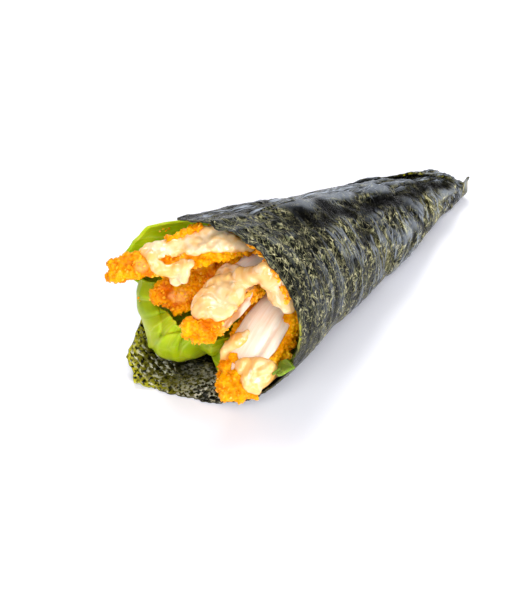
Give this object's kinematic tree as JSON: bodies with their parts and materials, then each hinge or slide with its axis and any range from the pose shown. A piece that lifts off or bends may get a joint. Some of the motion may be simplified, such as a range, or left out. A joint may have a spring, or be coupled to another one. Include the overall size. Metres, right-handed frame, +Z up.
{
  "type": "temaki hand roll",
  "caption": "Nori hand roll lying on its side, a cone of seaweed sheet round lettuce, breaded chicken strips and sauce, with filling standing out of the mouth.",
  "frame": {"origin": "centre of the space the roll takes up, on the table it lies on", "axes": "+Z up, +Y from the open mouth towards the closed tip, +X to the side the mouth is turned to"},
  "size_m": [0.0538, 0.1204, 0.0462],
  "materials": {
    "nori": "thin dried seaweed sheet with fine fibres and a soft sheen",
    "lettuce": "moist translucent leaf with pale veins",
    "breaded_chicken": "craggy fried breadcrumbs over pale meat",
    "sauce": "thick glossy sauce"
  },
  "bodies": {
    "root": {"nori_sheet": "nori", "lettuce_back": "lettuce", "lettuce_front": "lettuce", "lettuce_under": "lettuce", "chicken_right": "breaded_chicken", "chicken_left": "breaded_chicken", "chicken_middle": "breaded_chicken", "chicken_top": "breaded_chicken", "sauce_top": "sauce", "sauce_middle": "sauce", "sauce_right": "sauce"}
  },
  "joints": []
}
